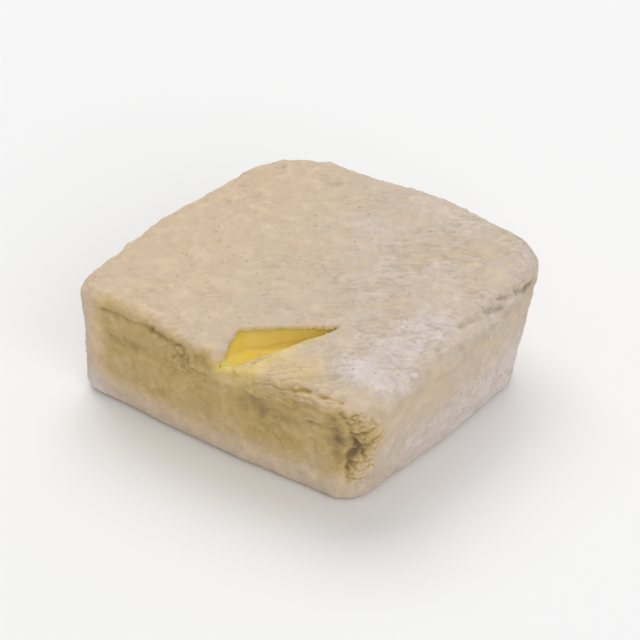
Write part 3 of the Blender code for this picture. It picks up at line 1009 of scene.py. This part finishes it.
class DELIGHT_OT_coat(bpy.types.Operator):
    """Adds the coat of starch and icing sugar, which stands for the solid block"""

    bl_idname = "delight.add_coat"
    bl_label = "Starch and Sugar Coat"

    def execute(self, context):
        sizes = context.scene.delight_block
        finish = context.scene.delight_coat
        form = block_form(sizes.coat_step / MM)
        relief, fine, valley = coat_relief(form)
        relief *= finish.depth * ease(form.points[:, 2], 0.0, 0.9)
        dive = 0.45 * opened(form.points)
        points = form.points + form.normals * (relief - dive)[:, None]
        coat = add_piece("sugar_coat", fitted(points, form, sizes), form.quads.tolist() + [form.foot.tolist()],
                         coat_material(finish, context.scene.delight_jelly.clear))
        paint(coat, "dusting", dusting(form, valley))
        paint(coat, "bared", opened(form.points))
        paint(coat, "stain", stain(form))
        paint(coat, "shade", shading(form, fine, valley))
        clusters = ease(lumps(form.points, 2.6, 301) + 0.4 * lumps(form.points, 0.8, 302), 0.0, 0.6)
        paint(coat, "crumbs", (0.12 + clusters) * ease(form.points[:, 2], 0.2, 0.5))
        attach(coat, BODY)
        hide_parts(BLOCK)
        return {"FINISHED"}


class DELIGHT_OT_grains(bpy.types.Operator):
    """Scatters crumbs of caked icing sugar over the coat, most where its powder is thick, and into the nick"""

    bl_idname = "delight.scatter_grains"
    bl_label = "Icing Sugar Crumbs"

    def execute(self, context):
        settings = context.scene.delight_grains
        random = np.random.default_rng(20)
        coat = bpy.data.objects["sugar_coat"]
        jelly = bpy.data.objects["lemon_jelly"]
        thick = painted(coat, "dusting")
        fallen = painted(jelly, "dusting")
        near = painted(jelly, "bared")
        clustered = (0.1 + thick**2) * (1 - painted(coat, "bared")) * painted(coat, "crumbs")
        on_coat = scattered(coat, clustered, settings.on_coat, random)
        on_jelly = scattered(jelly, fallen * near, settings.on_jelly, random)
        places, normals = (np.concatenate(pair) for pair in zip(on_coat, on_jelly))
        sizes = settings.smallest + (settings.largest - settings.smallest) * random.random(len(places)) ** 7
        points, faces = crumb_shapes(places, normals, sizes, random)
        crumbs = add_piece("sugar_crumbs", points, faces.tolist(), grain_material(settings))
        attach(crumbs, BODY)
        return {"FINISHED"}


class DELIGHT_OT_stage(bpy.types.Operator):
    """Adds the white floor, the soft lights and the camera"""

    bl_idname = "delight.add_stage"
    bl_label = "Stage"

    def execute(self, context):
        stage = context.scene.delight_stage
        middle = (LOW + HIGH) / 2
        self.add_floor(stage)
        self.add_light("key_light", Vector((-0.22, 0.20, 0.52)), 0.50, stage.key_power)
        self.add_light("fill_light", Vector((0.43, -0.27, 0.35)), 0.50, stage.fill_power)
        world = bpy.data.worlds.new("soft_room")
        world.use_nodes = True
        world.node_tree.nodes["Background"].inputs["Strength"].default_value = stage.ambient
        world.node_tree.nodes["Background"].inputs["Color"].default_value = (1.0, 1.0, 1.0, 1.0)
        context.scene.world = world
        self.add_camera(context, stage, middle)
        context.scene.view_settings.view_transform = "Standard"
        return {"FINISHED"}

    def add_floor(self, stage):
        """A level square under the block's foot."""
        corners = np.array([(-1, -1, 0), (1, -1, 0), (1, 1, 0), (-1, 1, 0)]) * 2.0 + (0, 0, LOW.z)
        floor = add_piece("floor", corners, [(0, 1, 2, 3)], floor_material(stage))

    def add_light(self, name, place, size, power):
        """A square area light that faces the block."""
        lamp = bpy.data.lights.new(name, "AREA")
        lamp.size = size
        lamp.energy = power
        light = bpy.data.objects.new(name, lamp)
        light.location = place
        light.rotation_euler = (-place).to_track_quat("-Z", "Y").to_euler()
        bpy.context.scene.collection.objects.link(light)

    def add_camera(self, context, stage, middle):
        """A long lens whose view is wide enough for the block's box, seen from its azimuth."""
        sine, cosine = math.sin(stage.azimuth), math.cos(stage.azimuth)
        back = Vector((sine * math.cos(stage.elevation), -cosine * math.cos(stage.elevation),
                       math.sin(stage.elevation)))
        size = HIGH - LOW
        seen = size.x * cosine + size.y * sine
        lens = bpy.data.cameras.new("camera")
        lens.lens = lens.sensor_width * stage.distance * stage.fill / seen
        lens.clip_start = 0.01
        camera = bpy.data.objects.new("camera", lens)
        camera.location = middle + back * stage.distance
        camera.rotation_euler = (-back).to_track_quat("-Z", "Y").to_euler()
        context.scene.collection.objects.link(camera)
        context.scene.camera = camera


class DELIGHT_PT_sweets(bpy.types.Panel):
    """Lists the settings and the steps in order"""

    bl_label = "Turkish Delight"
    bl_idname = "DELIGHT_PT_sweets"
    bl_space_type = "VIEW_3D"
    bl_region_type = "UI"
    bl_category = "Sweets"

    def draw(self, context):
        for name, group in SETTINGS.items():
            box = self.layout.box()
            for key in group.__annotations__:
                box.prop(getattr(context.scene, name), key)
        for step in STEPS:
            self.layout.operator(step.bl_idname)


SETTINGS = {
    "delight_block": BlockSizes,
    "delight_coat": CoatFinish,
    "delight_jelly": JellyFinish,
    "delight_grains": SugarGrains,
    "delight_stage": StageSettings,
}
STEPS = (DELIGHT_OT_jelly, DELIGHT_OT_coat, DELIGHT_OT_grains, DELIGHT_OT_stage)
CLASSES = (*SETTINGS.values(), *STEPS, DELIGHT_PT_sweets)


def register():
    for cls in CLASSES:
        bpy.utils.register_class(cls)
    for name, group in SETTINGS.items():
        setattr(bpy.types.Scene, name, bpy.props.PointerProperty(type=group))


def unregister():
    for name in SETTINGS:
        delattr(bpy.types.Scene, name)
    for cls in reversed(CLASSES):
        bpy.utils.unregister_class(cls)


def main():
    register()
    bpy.ops.delight.add_jelly()
    bpy.ops.delight.add_coat()
    bpy.ops.delight.scatter_grains()
    bpy.ops.delight.add_stage()


if __name__ == "__main__":
    main()
